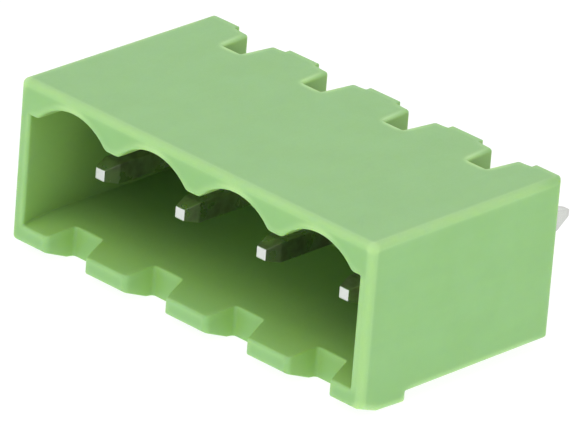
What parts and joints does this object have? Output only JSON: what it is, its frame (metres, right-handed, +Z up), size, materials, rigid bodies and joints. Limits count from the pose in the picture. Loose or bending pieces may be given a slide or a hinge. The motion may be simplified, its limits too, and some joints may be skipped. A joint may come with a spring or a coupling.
{
  "type": "pluggable terminal block header",
  "caption": "Green straight-pin board header of a pluggable terminal block, with a closed-end shrouded cavity, scalloped roof, coding teeth and square tinned pins.",
  "frame": {"origin": "middle of the pin row, in the plane of the feet that seat on the circuit board", "axes": "+X along the pin row, +Y from the mouth to the board and along the solder tails, +Z up with the latch ramp side down, as pictured"},
  "size_m": [0.022, 0.0163, 0.0083],
  "materials": {
    "green_nylon": "satin moulded, slightly translucent",
    "tinned_contact": "tin plated copper alloy, satin"
  },
  "bodies": {
    "root": {"housing": "green_nylon", "contact_pin_1": "tinned_contact", "contact_pin_2": "tinned_contact", "contact_pin_3": "tinned_contact", "contact_pin_4": "tinned_contact"}
  },
  "joints": []
}
